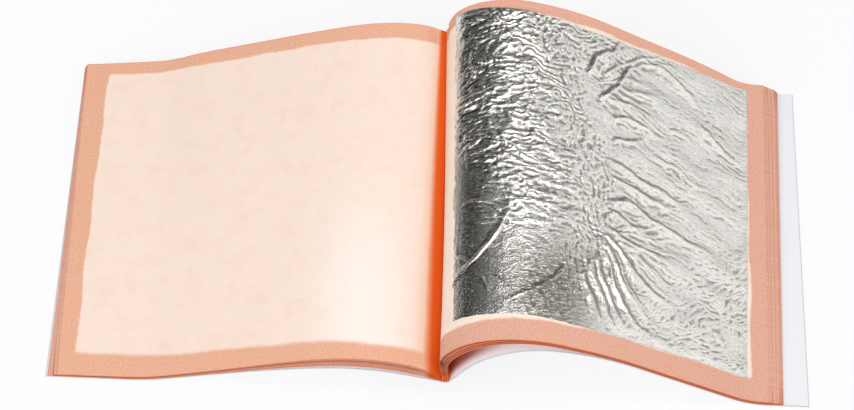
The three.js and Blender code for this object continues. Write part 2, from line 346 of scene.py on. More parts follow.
def page_rulers(page):
    """Distances along the cover against arc lengths along the page, at both ends."""
    rulers = {}
    for end in ends:
        distances = np.append(column_distances(block_of(page)["side"], outline_run), outline_run)
        ring_x, ring_z = ring_points(page, end, 0)
        laid_x, laid_z = laid_points(page, end, distances, 0)
        steps = np.hypot(np.diff(np.append(ring_x, laid_x)), np.diff(np.append(ring_z, laid_z)))
        arcs = np.concatenate([[0], np.cumsum(steps)])
        rulers[end] = (distances, arcs[len(ring_x):])
    return rulers


def distance_at_arc(rulers, arc, along):
    """Distance along the cover where a page has run this arc, between its near and its far end."""
    near = np.interp(arc, rulers["near"][1], rulers["near"][0])
    far = np.interp(arc, rulers["far"][1], rulers["far"][0])
    return near + (far - near) * along


def sheet_places(page, distances, along, offset):
    """Places on a page for arrays of distances along the cover and of shares along the fold."""
    near_x, near_z = laid_points(page, "near", distances, offset)
    far_x, far_z = laid_points(page, "far", distances, offset)
    y = fold_at["near"][1] + along * page_height
    return np.stack([near_x + (far_x - near_x) * along, y, near_z + (far_z - near_z) * along], -1)


def grid_mesh(name, places, measures, thickness, depths=None):
    """A sheet from a grid of places on its lower face, with its flat measures as its UV map.

    Without thickness it is a single face. Depths of its creases go into a second UV map.
    """
    rows, columns = places.shape[:2]
    bm = bmesh.new()
    bmesh.ops.create_grid(bm, x_segments=columns - 1, y_segments=rows - 1, size=1)
    flat_map = bm.loops.layers.uv.new("flat")
    crease_map = bm.loops.layers.uv.new("creases") if depths is not None else None
    spots = {}
    for vert in bm.verts:
        column = round((vert.co.x + 1) / 2 * (columns - 1))
        row = round((vert.co.y + 1) / 2 * (rows - 1))
        spots[vert] = (row, column)
    for vert, (row, column) in spots.items():
        vert.co = Vector(places[row, column]) * MM
    for face in bm.faces:
        for loop in face.loops:
            row, column = spots[loop.vert]
            loop[flat_map].uv = measures[row, column] / flat_unit
            if crease_map:
                loop[crease_map].uv = (depths[row, column], 0)
        face.smooth = True
    if thickness:
        bmesh.ops.recalc_face_normals(bm, faces=bm.faces)
        if sum(face.normal.z for face in bm.faces) <= 0:
            bmesh.ops.reverse_faces(bm, faces=bm.faces)
        bmesh.ops.solidify(bm, geom=bm.faces[:], thickness=-thickness * MM)
        bmesh.ops.recalc_face_normals(bm, faces=bm.faces)
        for edge in bm.edges:
            edge.smooth = edge.calc_face_angle(0) < rim_angle
    mesh = bpy.data.meshes.new(name)
    bm.to_mesh(mesh)
    bm.free()
    piece = bpy.data.objects.new(name, mesh)
    bpy.context.scene.collection.objects.link(piece)
    return piece


def sheet_pieces(name, places, measures, thickness, seam):
    """A sheet in one piece, or in two that meet at this distance from the fold."""
    if not seam:
        return [grid_mesh(name, places, measures, thickness)]
    across = np.abs(places[:, :, 0].mean(axis=0) - fold_at["near"][0])
    column = int(np.argmin(np.abs(across - seam)))
    parts = (("root", slice(None, column + 1)), ("outer", slice(column, None)))
    return [grid_mesh(f"{name}_{part}", places[:, kept], measures[:, kept], thickness)
            for part, kept in parts]


def page_pieces(page, seam):
    """A page from its ring in the fold to its fore-edge, which is trimmed shorter in a clinging group."""
    rulers = page_rulers(page)
    trimmed_width = page_width - (page - cling_page(page)) * edge_step
    fore_edge = {end: np.interp(trimmed_width, rulers[end][1], rulers[end][0]) for end in ends}
    columns = column_distances(block_of(page)["side"], min(fore_edge.values()))
    along = np.linspace(0, 1, grid_rows)[:, None]
    last = fore_edge["near"] + (fore_edge["far"] - fore_edge["near"]) * along
    distances = np.concatenate([np.tile(columns, (grid_rows, 1)), last], axis=1)
    offset = -page_thickness / 2
    laid = sheet_places(page, distances, np.broadcast_to(along, distances.shape), offset)
    near_ring, far_ring = [np.stack(ring_points(page, end, offset), -1) for end in ends]
    ring = near_ring + (far_ring - near_ring) * along[:, :, None]
    ring_y = np.broadcast_to(fold_at["near"][1] + along * page_height, ring.shape[:2])
    ring = np.stack([ring[..., 0], ring_y, ring[..., 1]], -1)
    places = np.concatenate([ring, laid], axis=1)
    arcs = np.linalg.norm(np.diff(places[:, :, [0, 2]], axis=1), axis=2)
    arcs = np.concatenate([np.zeros((grid_rows, 1)), np.cumsum(arcs, axis=1)], axis=1)
    measures = np.stack([arcs, np.broadcast_to(along * page_height, arcs.shape)], -1)
    return sheet_pieces(f"page_{page:02d}_sheet", places, measures, page_thickness, seam)


def grid_shares(rows, columns):
    return np.meshgrid(np.linspace(0, 1, columns), np.linspace(0, 1, rows))


def leaf_places(page, arc, y, lift=0):
    """Places of a leaf on its page, for arrays of arcs from the fold and distances along it."""
    share = y / page_height
    distances = distance_at_arc(page_rulers(page), arc, share)
    return sheet_places(page, distances, share, page_thickness / 2 + leaf_air + lift)


def hidden_leaf_pieces(leaf, page, seam):
    """A smooth leaf between two pages, a little out of square."""
    skew = most_skew * noise(np.array([leaf * skew_change]), np.array([0.5]), skew_seed)[0]
    across, along = grid_shares(*hidden_leaf_grid)
    arc = hidden_leaf_start + skew + leaf_side * across + skew * (0.5 - along)
    y = leaf_margin + leaf_side * along + skew * (across - 0.5)
    measures = np.stack([arc, y], -1)
    return sheet_pieces(f"leaf_{leaf:02d}_foil", leaf_places(page, arc, y), measures, leaf_thickness, seam)


def cover_piece(side):
    block = right_block if side > 0 else left_block
    edges = []
    for end in ends:
        outline = block["covers"][end]
        fold_run = outline["fold_run"]
        distances = np.concatenate([
            fold_run * np.linspace(0, 1, card_columns["in_fold"], endpoint=False),
            np.linspace(fold_run, card_turn_end, card_columns["turning"], endpoint=False),
            np.linspace(card_turn_end, cover_width, card_columns["outside"]),
        ])
        x, z = raised_points(outline, side, distances, -cover_thickness / 2)
        edges.append(np.stack([x, z, distances], -1))
    along = np.linspace(0, 1, grid_rows)[:, None, None]
    mixed = edges[0] + (edges[1] - edges[0]) * along
    y = np.broadcast_to(along[..., 0] * page_height, mixed.shape[:2])
    places = np.stack([mixed[..., 0], fold_at["near"][1] + y, mixed[..., 1]], -1)
    measures = np.stack([mixed[..., 2], y], -1)
    name = "cover_back_card" if side > 0 else "cover_front_card"
    return grid_mesh(name, places, measures, cover_thickness)


def noise(across, along, seed):
    """Smooth gradient noise over two arrays, about between -1 and 1 after its stretch."""
    size = 64
    stretch = 1.6
    angles = np.random.default_rng(seed).uniform(0, 2 * math.pi, (size, size))
    cell_a, cell_b = np.floor(across).astype(int), np.floor(along).astype(int)
    a, b = across - cell_a, along - cell_b
    fade_a, fade_b = [t * t * t * (t * (6 * t - 15) + 10) for t in (a, b)]
    total = 0
    for step_a, share_a in ((0, 1 - fade_a), (1, fade_a)):
        for step_b, share_b in ((0, 1 - fade_b), (1, fade_b)):
            angle = angles[(cell_a + step_a) % size, (cell_b + step_b) % size]
            slope = np.cos(angle) * (a - step_a) + np.sin(angle) * (b - step_b)
            total = total + share_a * share_b * slope
    return total * stretch


def crumple(across, along, seed):
    """Sharp winding crests, with finer ones on them."""
    finer_crests = ((1, 0.6), (2, 0.28), (4, 0.12))
    return sum(share * (1 - 2 * np.abs(noise(across * fine, along * fine, seed + fine)))
               for fine, share in finer_crests)


# All folds are this many times as wide as they say, and their steep side has this share of that width
fold_spread = 1.7
steep_side = 0.42

# Long folds of the top leaf, each a path of (arc from the fold, distance along it), a width and a height
long_folds = [
    ([(56, 60), (62, 59), (68, 56), (76, 55), (84, 53)], 1.3, 0.55),
    ([(57, 55), (64, 53), (71, 52), (82, 50)], 1.3, 0.5),
    ([(57, 46), (65, 49), (70, 45), (77, 43), (86, 42), (94, 40)], 1.9, 0.8),
    ([(58, 44), (63, 42), (69, 39)], 1.2, 0.45),
    ([(56, 40), (61, 37), (66, 34), (73, 35), (80, 33)], 1.5, 0.55),
    ([(56, 38), (61, 32), (66, 27), (73, 22), (80, 20)], 1.7, 0.8),
    ([(55, 36), (60, 28), (65, 21), (70, 15), (76, 12)], 1.5, 0.7),
    ([(55, 33), (59, 25), (63, 16), (68, 11), (76, 8)], 1.4, 0.65),
    ([(54, 31), (57, 22), (61, 13), (66, 8)], 1.2, 0.6),
    ([(53, 29), (56, 19), (59, 11), (63, 7)], 1.1, 0.5),
    ([(52, 25), (54, 16), (57, 8)], 1.1, 0.5),
    ([(50, 84), (52, 90), (56, 94), (62, 98)], 1.6, 0.6),
    ([(54, 77), (59, 84), (62, 90), (66, 97)], 1.6, 0.7),
    ([(64, 97), (70, 96), (76, 95), (84, 90), (88, 86)], 1.2, 0.4),
    ([(57, 84), (63, 84), (68, 85), (74, 83)], 1.0, 0.35),
    ([(56, 79), (61, 79), (66, 80)], 1.0, 0.35),
    ([(57, 74), (64, 75), (69, 74), (74, 72)], 1.2, 0.45),
    ([(58, 67), (64, 67), (69, 70)], 1.0, 0.35),
    ([(75, 77), (81, 77), (86, 74)], 1.0, 0.25),
    ([(84, 83), (90, 80), (95, 77), (102, 75)], 1.2, 0.36),
    ([(70, 66), (78, 65), (86, 62), (94, 62)], 1.0, 0.2),
]

# Thin creases beside the fold, in the same form
raised_creases = [
    ([(35, 41), (30, 37), (28, 31), (24, 26), (18, 21), (13, 17)], 0.9, 0.42),
    ([(30, 37), (25, 41), (20, 42), (15, 40)], 0.6, 0.25),
    ([(21, 24), (16, 27), (16, 31)], 0.6, 0.2),
    ([(27, 14), (25, 18), (21, 22)], 0.5, 0.2),
    ([(48, 26), (45, 20), (40, 16), (33, 12), (30, 9)], 0.8, 0.34),
    ([(34, 14), (30, 19), (24, 22)], 0.5, 0.2),
]

# The long folds are this many times as high as they say
long_fold_gain = 1.25

# Knots in the foil from which folds and rays spread: their place, the bearings of the folds in degrees,
# how these turn per millimetre, how many folds there are and how close the rays stand
fans = [
    {"knot": (56, 38), "bearings": (-78, 12), "turn": 0.7, "folds": 60, "rays": 17, "seed": 21,
     "ray_seed": 30},
    {"knot": (51, 82), "bearings": (-25, 68), "turn": -1.2, "folds": 30, "rays": 12, "seed": 22,
     "ray_seed": 34},
]

# The folds of a fan in millimetres: how far from the knot they start, their length, width and height
small_fold = {"start": (1, 14), "length": (5, 20), "width": (0.45, 1.2), "height": (0.12, 0.4)}
small_fold_steps = 3

# Lines of the top leaf, each as distances along the fold and arcs from it: the line of knots, the end of
# the smooth strip beside the fold, and the middle of the band of flakes
knot_line = ([0, 20, 34, 43, 54, 66, 74, 83, 104], [50, 52, 55, 58, 56, 53, 49, 45, 38])
smooth_strip_end = ([20, 45, 62], [33, 30, 19])
flaked_line = ([70, 104], [48, 21])

# Its edges: arcs of the inner and outer edge, each at the near end and the change to the far end,
# and the near and far edge, as shares of its width and distances along the fold
inner_edge = (16.6, -6.9)
outer_edge = (102.1, 1.4)
near_edge = ([0, 0.12, 0.2, 0.28, 0.37, 0.53, 0.83, 1], [8.3, 7.7, 7.7, 7.3, 6.8, 6.5, 7, 6.7])
far_edge = ([0, 0.07, 0.16, 0.3, 0.42, 0.6, 0.83, 1], [102.6, 102.3, 101.2, 100, 99, 99.5, 100.6, 101.7])

# Heights of its creases and of the face between them in millimetres. Towards the leaf's edge they sink
# to edge_share over edge_run.
crease_height = {
    "streaks": 0.22, "faint_streaks": 0.015, "lenses": 0.38, "faint_lenses": 0.02, "knots": 0.26,
    "curls": 0.2, "far_curls": 0.32, "waves": 0.15, "ripples": 0.04, "diagonals": 0.2, "swells": 0.4,
    "flakes": 0.46, "rays": 0.09,
}
face_height = 0.15
least_height = 0.02
edge_share = 0.12
edge_run = 2.5
top_leaf_cells = 314


def smooth_line(runs, values, places):
    """Values along a path, without its corners."""
    shifts = np.linspace(-0.08, 0.08, 5) * runs[-1]
    return np.mean([np.interp(places + shift, runs, values) for shift in shifts], axis=0)


def fold_crest(arc, y, path, width, height):
    """A fold in foil: a crest along a path that is steep to the left of it and fades at its ends."""
    fade_in, fade_out, hollow = 0.15, 0.45, 0.3
    width = fold_spread * width
    points = np.array(path, float)
    runs = np.concatenate([[0], np.cumsum(np.linalg.norm(np.diff(points, axis=0), axis=1))])
    fine_runs = np.linspace(0, runs[-1], 3 * len(points))
    fine_points = np.stack([smooth_line(runs, points[:, axis], fine_runs) for axis in (0, 1)], -1)
    low, high = fine_points.min(axis=0) - 2 * width, fine_points.max(axis=0) + 2 * width
    near = np.nonzero((arc > low[0]) & (arc < high[0]) & (y > low[1]) & (y < high[1]))
    spots = np.stack([arc[near], y[near]], -1)
    closest = np.full(len(spots), np.inf)
    side = np.zeros(len(spots))
    share = np.zeros(len(spots))
    for index in range(len(fine_points) - 1):
        start, run = fine_points[index], fine_points[index + 1] - fine_points[index]
        length = np.linalg.norm(run)
        part = np.clip((spots - start) @ run / length ** 2, 0, 1)
        away = spots - start - part[:, None] * run
        distance = np.linalg.norm(away, axis=1)
        better = distance < closest
        closest[better] = distance[better]
        side[better] = (run[0] * away[:, 1] - run[1] * away[:, 0])[better]
        share[better] = (fine_runs[index] + part * length)[better] / runs[-1]
    reach = np.where(side > 0, steep_side * width, width)
    profile = np.clip(1 - closest / reach, 0, 1)
    fade = np.clip(share / fade_in, 0, 1) * np.clip((1 - share) / fade_out, 0, 1)
    crest = np.zeros_like(arc)
    crest[near] = height * profile * (1 - hollow * (1 - profile)) * fade
    return crest


def heading_vector(degrees):
    return np.array([math.cos(math.radians(degrees)), math.sin(math.radians(degrees))])


def fan_folds(fan):
    """Many small folds that spread from a knot in the foil and turn as they run out."""
    draw = np.random.default_rng(fan["seed"])
    folds = []
    for _ in range(fan["folds"]):
        bearing = draw.uniform(*fan["bearings"])
        start = draw.uniform(*small_fold["start"])
        length = draw.uniform(*small_fold["length"])
        point = np.array(fan["knot"]) + start * heading_vector(bearing)
        path = [point]
        for _ in range(small_fold_steps):
            bearing += fan["turn"] * length / small_fold_steps
            point = point + length / small_fold_steps * heading_vector(bearing)
            path.append(point)
        width = draw.uniform(*small_fold["width"])
        height = draw.uniform(*small_fold["height"])
        folds.append((path, width, height))
    return folds


def fan_rays(arc, y, fan):
    """Crests that run out from a knot in the foil and die away from it."""
    away_arc, away_y = arc - fan["knot"][0], y - fan["knot"][1]
    distance = np.hypot(away_arc, away_y)
    bearing = np.arctan2(away_y, away_arc)
    rays = crumple(bearing * fan["rays"], distance / 11, fan["ray_seed"])
    return crease_height["rays"] * np.exp(-distance / 24) * ease(distance, 1, 6) * rays


def saw(value, rise):
    """Facets that rise over a share of each unit and fall over the rest."""
    part = value - np.floor(value)
    return np.minimum(part / rise, (1 - part) / (1 - rise))


def facets(arc, y, bearings, pitch, rise, count, seed):
    """Flat facets between straight creases that cross at the given bearings, about one unit steep."""
    draw = np.random.default_rng(seed)
    total = 0
    for index in range(count):
        across = heading_vector(draw.uniform(*bearings) + 90)
        width = pitch * draw.uniform(0.6, 1.6)
        strength = ease(noise(arc / (5 * width) + index, y / (3 * width), seed + index), -0.35, 0.45)
        wave = saw((across[0] * arc + across[1] * y) / width + draw.uniform(0, 1), rise)
        total = total + wave * width * strength
    return total / 2


def streaked_creases(arc, y, drift, swirl, bent_arc, bent_y):
    """Streaks between the fold and the knots, fainter beside the fold and at the near end."""
    strip_end = np.interp(y, *smooth_strip_end)
    rough = 0.13 + 0.87 * ease(y + 4 * drift, 22, 52)
    strength = ease(arc + 2.5 * drift, strip_end - 10, strip_end) * rough
    lean = 0.3 * ease(y, 55, 85) - 0.12
    streak_y = y - lean * (arc - 20) + 0.7 * swirl
    streaks = crumple((arc + 2 * drift) / 3.4, streak_y / 1.15, seed=4)
    lenses = crumple((arc + 2 * drift) / 6, streak_y / 3.1, seed=14)
    patchy = 0.45 + 1.1 * ease(noise(arc / 8, y / 5, seed=44), -0.4, 0.5)
    facet_lines = facets(bent_arc, bent_y + 0.5 * swirl, (-20, 20), pitch=1.7, rise=0.3, count=6, seed=40)
    streak_height = crease_height["faint_streaks"] + crease_height["streaks"] * strength * patchy
    lens_height = crease_height["faint_lenses"] + crease_height["lenses"] * strength
    return streak_height * (streaks + 0.5 * facet_lines) + lens_height * lenses


def knotted_creases(arc, y, drift, swirl, bent_y, from_knots):
    """Creases along the line of knots and in the far corner."""
    knots = crumple((arc + 0.25 * (y - 50)) / 1.5 + 0.8 * drift, bent_y / 4.5 + 0.5 * swirl, seed=6)
    curls = crumple(arc / 2.6 + 1.1 * drift, y / 1.9 + 1.1 * swirl, seed=24)
    knot_zone = band(from_knots, -8, 2.5, 3) * ease(y, 6, 22)
    far_corner = ease(y + 3 * swirl, 80, 96) * band(arc, 20, 58, 6)
    knotted = crease_height["knots"] * knots + crease_height["curls"] * curls
    return knot_zone * knotted + far_corner * crease_height["far_curls"] * curls


def outer_creases(arc, y, drift, swirl, bent_arc, bent_y):
    """Creases beyond the knots: waves, diagonals in the near corner, rays and broad swells."""
    near_corner = ease(arc - y + 6 * drift, 38, 66)
    waves = crumple((arc + 3 * drift) / 7, (y + 0.2 * arc + 1.6 * swirl) / 1.5, seed=8)
    ripples = crumple((arc + 2 * drift) / 2.4, (y + 0.1 * arc + swirl) / 0.9, seed=18)
    diagonals = crumple((arc + y + 2 * drift) / 4.5, (y - 0.6 * arc + 2 * swirl) / 1.5, seed=10)
    swells = noise(arc / 13, (y + 0.16 * arc) / 7, seed=12)
    rays = sum(fan_rays(bent_arc, bent_y, fan) for fan in fans)
    height = (1 - near_corner) * crease_height["waves"] * waves
    height = height + near_corner * crease_height["diagonals"] * diagonals
    return height + crease_height["ripples"] * ripples + rays + crease_height["swells"] * swells


def with_flakes(height, arc, y, drift):
    """A relief with the band of flakes that runs to the far end."""
    flaked = band(arc - np.interp(y, *flaked_line), -2.4, 2.4, 1.4) * ease(y, 64, 76)
    flakes = saw((y + 0.35 * arc + 1.5 * drift) / 1.5 + 0.8 * noise(arc / 3, y / 3, seed=16), 0.78)
    return height * (1 - 0.75 * flaked) + crease_height["flakes"] * flaked * flakes


def leaf_relief(arc, y):
    """Height of the top leaf's creases over its page, in millimetres."""
    drift = noise(arc / 9, y / 9, seed=1) + 0.35 * noise(arc / 3, y / 3, seed=31)
    swirl = noise(arc / 9 + 9, y / 9 + 5, seed=2) + 0.35 * noise(arc / 3 + 4, y / 3 + 7, seed=32)
    bent = (arc + 0.8 * drift, y + 0.8 * swirl)
    from_knots = arc + 1.6 * drift - np.interp(y, *knot_line)
    height = (1 - ease(from_knots, -11, -3)) * streaked_creases(arc, y, drift, swirl, *bent)
    height = height + knotted_creases(arc, y, drift, swirl, bent[1], from_knots)
    height = height + ease(from_knots, 1, 8) * outer_creases(arc, y, drift, swirl, *bent)
    height = with_flakes(height, arc, y, drift) + face_height
    small_folds = [fold for fan in fans for fold in fan_folds(fan)]
    height = height + np.maximum.reduce([fold_crest(*bent, *fold) for fold in small_folds])
    height = height + sum(fold_crest(*bent, *fold) for fold in raised_creases)
    height = height + long_fold_gain * sum(fold_crest(*bent, *fold) for fold in long_folds)
    from_edge = np.minimum.reduce([arc - arc.min(), arc.max() - arc, y - y.min(), y.max() - y])
    return np.maximum(height, least_height) * np.clip(from_edge / edge_run, edge_share, 1)


def crease_depths(height):
    """How far each place of a relief lies below the middle of its neighbours, in millimetres."""
    reach = 3
    padded = np.pad(height, reach, mode="edge")
    rows, columns = height.shape
    shifts = range(2 * reach + 1)
    around = sum(padded[i:i + rows, j:j + columns] for i in shifts for j in shifts) / len(shifts) ** 2
    return around - height


def top_leaf_outline(across, along):
    """Arcs and distances along the fold for shares of the top leaf's width and height, with torn edges."""
    tears = 0.9 * noise(along * 9, along * 0, seed=11) + 0.5 * noise(along * 40, along * 0, seed=12)
    inner = inner_edge[0] + inner_edge[1] * along + tears
    outer = outer_edge[0] + outer_edge[1] * along
    arc = inner + (outer - inner) * across
    near = np.interp(across, *near_edge) + 0.15 * noise(across * 40, across * 0, seed=13)
    far = np.interp(across, *far_edge) + 0.12 * noise(across * 30, across * 0, seed=14)
    return arc, near + (far - near) * along


def top_leaf_piece():
    arc, y = top_leaf_outline(*grid_shares(top_leaf_cells, top_leaf_cells))
    relief = leaf_relief(arc, y)
    places = leaf_places(top_right_page, arc, y, relief)
    return grid_mesh("leaf_04_foil", places, np.stack([arc, y], -1), 0, crease_depths(relief))


def colour(red, green, blue):
    """Linear colour from display values of 0 to 255."""
    linear = [((v / 255 + 0.055) / 1.055) ** 2.4 if v > 10 else v / 255 / 12.92 for v in (red, green, blue)]
    return (*linear, 1)


class Nodes:
    """A tree of nodes with short ways to add to it."""

    def __init__(self, tree):
        self.tree = tree

    def node(self, kind, settings=None, **inputs):
        node = self.tree.nodes.new("ShaderNode" + kind)
        for key, value in (settings or {}).items():
            setattr(node, key, value)
        for key, value in inputs.items():
            self.feed(node.inputs[key.replace("_", " ")], value)
        return node

    def feed(self, socket, value):
        if isinstance(value, bpy.types.NodeSocket):
            self.tree.links.new(value, socket)
        else:
            socket.default_value = value

    def math(self, operation, first, second=0.0):
        node = self.tree.nodes.new("ShaderNodeMath")
        node.operation = operation
        self.feed(node.inputs[0], first)
        self.feed(node.inputs[1], second)
        return node.outputs[0]

    def product(self, first, *others):
        for other in others:
            first = self.math("MULTIPLY", first, other)
        return first

    def ramp(self, value, low, high, start=0.0, end=1.0):
        node = self.node("MapRange", {"interpolation_type": "SMOOTHSTEP"}, Value=value)
        for index, number in enumerate((low, high, start, end), 1):
            self.feed(node.inputs[index], number)
        return node.outputs["Result"]

    def mix(self, share, first, second):
        node = self.node("Mix", {"data_type": "RGBA"})
        self.feed(node.inputs[0], share)
        self.feed(node.inputs[6], first)
        self.feed(node.inputs[7], second)
        return node.outputs[2]

    def noise(self, where, scale, detail=3.0, roughness=0.5):
        node = self.node("TexNoise", Vector=where, Scale=scale, Detail=detail, Roughness=roughness)
        return node.outputs[0]


class Finish(Nodes):
    """A material that starts as one plain surface."""

    def __init__(self, name):
        self.material = bpy.data.materials.new(name)
        self.material.use_nodes = True
        super().__init__(self.material.node_tree)
        self.surface = self.tree.nodes["Principled BSDF"]
        self.output = self.tree.nodes["Material Output"]

    def dress(self, **inputs):
        for key, value in inputs.items():
            self.feed(self.surface.inputs[key.replace("_", " ")], value)

    def roughen(self, height, distance, strength):
        """Fine relief in the surface's shading only, its distance in metres."""
        bump = self.node("Bump", Height=height, Distance=distance, Strength=strength)
        self.dress(Normal=bump.outputs[0])

    def flat_position(self):
        """The flat measures of a sheet in millimetres: both, from the fold, and along it."""
        flat_map = self.node("UVMap", {"uv_map": "flat"}).outputs[0]
        scaled = self.node("VectorMath", {"operation": "SCALE"}, Vector=flat_map, Scale=flat_unit)
        parts = self.node("SeparateXYZ", Vector=scaled.outputs[0])
        return scaled.outputs[0], parts.outputs[0], parts.outputs[1]


# Colours of the tissue, the card, the silver and the wire
paper_white = colour(255, 247, 241)
# The rouge of the cut edges, darkened as painted shade between the sheets
cut_rouge_and_shade = colour(238, 136, 88)
# Painted shade for the dark lines between groups of pages at their cut edges
cut_painted_shade = colour(136, 44, 24)
patch_cream = colour(251, 229, 214)
patch_band = colour(255, 236, 220)
card_shades = (colour(240, 240, 245), colour(248, 248, 252))
# Painted shade under the page stack, dark red as painted light reflected from the tissue
card_painted_stack_shade = colour(176, 88, 76)
card_cut = colour(150, 156, 176)
silver_shades = (colour(228, 225, 218), colour(244, 243, 238))
# Painted dark reflection in a patch of the top leaf
silver_painted_dark_reflection = colour(122, 117, 108)
# Painted shade in the foil's creases
silver_crease_shade = colour(120, 114, 104)
wire_shades = (colour(176, 178, 182), colour(208, 210, 214))
# Border colours of the top pages: pale, deep and grey are the rouge; the fold colours are painted reflected
# light and shade of the crease over it
border_left = {
    "pale": colour(240, 188, 160), "deep": colour(233, 170, 138), "grey": colour(226, 174, 152),
    "fold_painted_bounce": colour(254, 200, 156), "fold": colour(236, 104, 30),
}
border_right = {
    "pale": colour(234, 184, 162), "deep": colour(227, 164, 140), "grey": colour(216, 166, 150),
    "fold_painted_bounce": colour(250, 204, 172), "fold": colour(232, 116, 58),
}

# Sides of the pale patch on a page as (start, slope, softness): fold side, outer, near and far side
left_patch_sides = [(8.0, -0.055, 0.8), (103.5, -0.023, 0.3), (4.3, 0.028, 0.9), (98.9, 0.012, 0.35)]
right_patch_sides = [(0.5, 0.0, 1.0), (103.2, -0.013, 0.35), (5.8, 0.012, 0.5), (100.2, 0.008, 0.35)]
hidden_patch_sides = [(6.0, 0.0, 0.5), (101.5, 0.01, 0.4), (4.6, 0.01, 0.4), (99.4, -0.01, 0.4)]
# Strength of the painted highlight on the top left page
left_painted_highlight = 0.7


def patch_share(finish, flat, arc, y, sides):
    """1 inside the patch and 0 outside it, with wavering edges."""
    slow = finish.ramp(finish.noise(flat, 0.07, 3), 0.3, 0.7, -0.3, 0.3)
    quick = finish.ramp(finish.noise(flat, 0.9, 3), 0.3, 0.7, -0.08, 0.08)
    wobble = finish.math("ADD", slow, quick)
    shares = []
    for coordinate, other, sign, side in zip((arc, arc, y, y), (y, y, arc, arc), (1, -1, 1, -1), sides):
        start, slope, softness = side
        edge = finish.math("ADD", finish.math("MULTIPLY", other, slope), start)
        inwards = finish.math("MULTIPLY", finish.math("SUBTRACT", coordinate, edge), sign)
        depth = finish.math("ADD", inwards, wobble)
        shares.append(finish.ramp(depth, -softness, softness))
    return finish.product(*shares)


def tissue_finish(name, border, cut, patch, sides, painted_highlight=0.0):
    """Rouged tissue with its cut edges darkened, partly as painted shade. It shows paler where a leaf lies
    under it, whitest in a painted highlight, and deeper orange beside the fold as painted reflected light
    and shade.
    """
    finish = Finish(name)
    flat, arc, y = finish.flat_position()
    inside = patch_share(finish, flat, arc, y, sides)
    fibres = finish.noise(flat, 1.5, 5, 0.7)
    specks = finish.noise(flat, 2.4, 3, 0.6)
    clouds = finish.noise(flat, 0.16, 5, 0.7)
    rouge = finish.mix(finish.ramp(fibres, 0.36, 0.64), border["pale"], border["deep"])
    rouge = finish.mix(finish.ramp(specks, 0.52, 0.7, 0.0, 0.35), rouge, border["grey"])
    cream = finish.mix(finish.ramp(clouds, 0.46, 0.72, 0.0, 0.15), patch, border["deep"])
    cream = finish.mix(finish.ramp(fibres, 0.45, 0.75, 0.0, 0.14), cream, border["deep"])
    cream = finish.mix(finish.ramp(specks, 0.5, 0.75, 0.0, 0.3), cream, paper_white)
    # A painted highlight: the cream turns whiter in a band beside the fold, strongest towards the near end
    if painted_highlight:
        highlight_share = finish.product(finish.ramp(arc, 6, 24), finish.ramp(arc, 24, 44, 1.0, 0.0),
                                 finish.ramp(y, 20, 62, painted_highlight, 0.0))
        cream = finish.mix(highlight_share, cream, paper_white)
    shade = finish.mix(inside, rouge, cream)
    from_cut = finish.math("MINIMUM", finish.math("SUBTRACT", page_width, arc), y)
    from_cut = finish.math("MINIMUM", from_cut, finish.math("SUBTRACT", page_height, y))
    # The cut edges take the cut colour: partly the rouge of the cut, partly painted shade between the sheets
    shade = finish.mix(finish.ramp(from_cut, 0.02, 0.32, 0.85, 0.0), shade, cut)
    border_start, border_slope, _ = sides[0]
    border_width = finish.math("ADD", finish.math("MULTIPLY", y, border_slope), border_start + 1.5)
    from_fold = finish.math("DIVIDE", arc, border_width)
    # Beside the fold the rouge border turns warmer and then deep orange: painted reflected light and shade
    # of the crease
    shade = finish.mix(finish.ramp(from_fold, 0.75, 1.3, 0.5, 0.0), shade, border["fold_painted_bounce"])
    shade = finish.mix(finish.ramp(from_fold, 0.55, 0.92, 1.0, 0.0), shade, border["fold"])
    finish.dress(Base_Color=shade, Roughness=0.75, Specular_IOR_Level=0.2)
    finish.roughen(finish.noise(flat, 1.6, 5, 0.65), distance=0.00006, strength=0.5)
    return finish.material


def card_finish():
    """White card, with painted shade near its fold under the page stack, dark red as painted light reflected
    from the tissue, and grey at its cut edges.
    """
    finish = Finish("white_card")
    flat, arc, y = finish.flat_position()
    fibres = finish.noise(flat, 3.0, 4, 0.6)
    shade = finish.mix(finish.ramp(fibres, 0.3, 0.7), *card_shades)
    # Painted shade under the page stack near the fold, deeper away from the near edge, in the dark red of
    # painted reflected light
    stack_shade = finish.product(finish.ramp(y, 0.6, 3.5, 0.0, 0.95), finish.ramp(arc, 9, 27, 1.0, 0.0))
    shade = finish.mix(stack_shade, shade, card_painted_stack_shade)
    from_cut = finish.math("MINIMUM", y, finish.math("SUBTRACT", cover_width, arc))
    shade = finish.mix(finish.ramp(from_cut, 0.05, 0.4, 0.55, 0.0), shade, card_cut)
    finish.dress(Base_Color=shade, Roughness=0.65)
    finish.roughen(fibres, distance=0.00006, strength=0.4)
    return finish.material


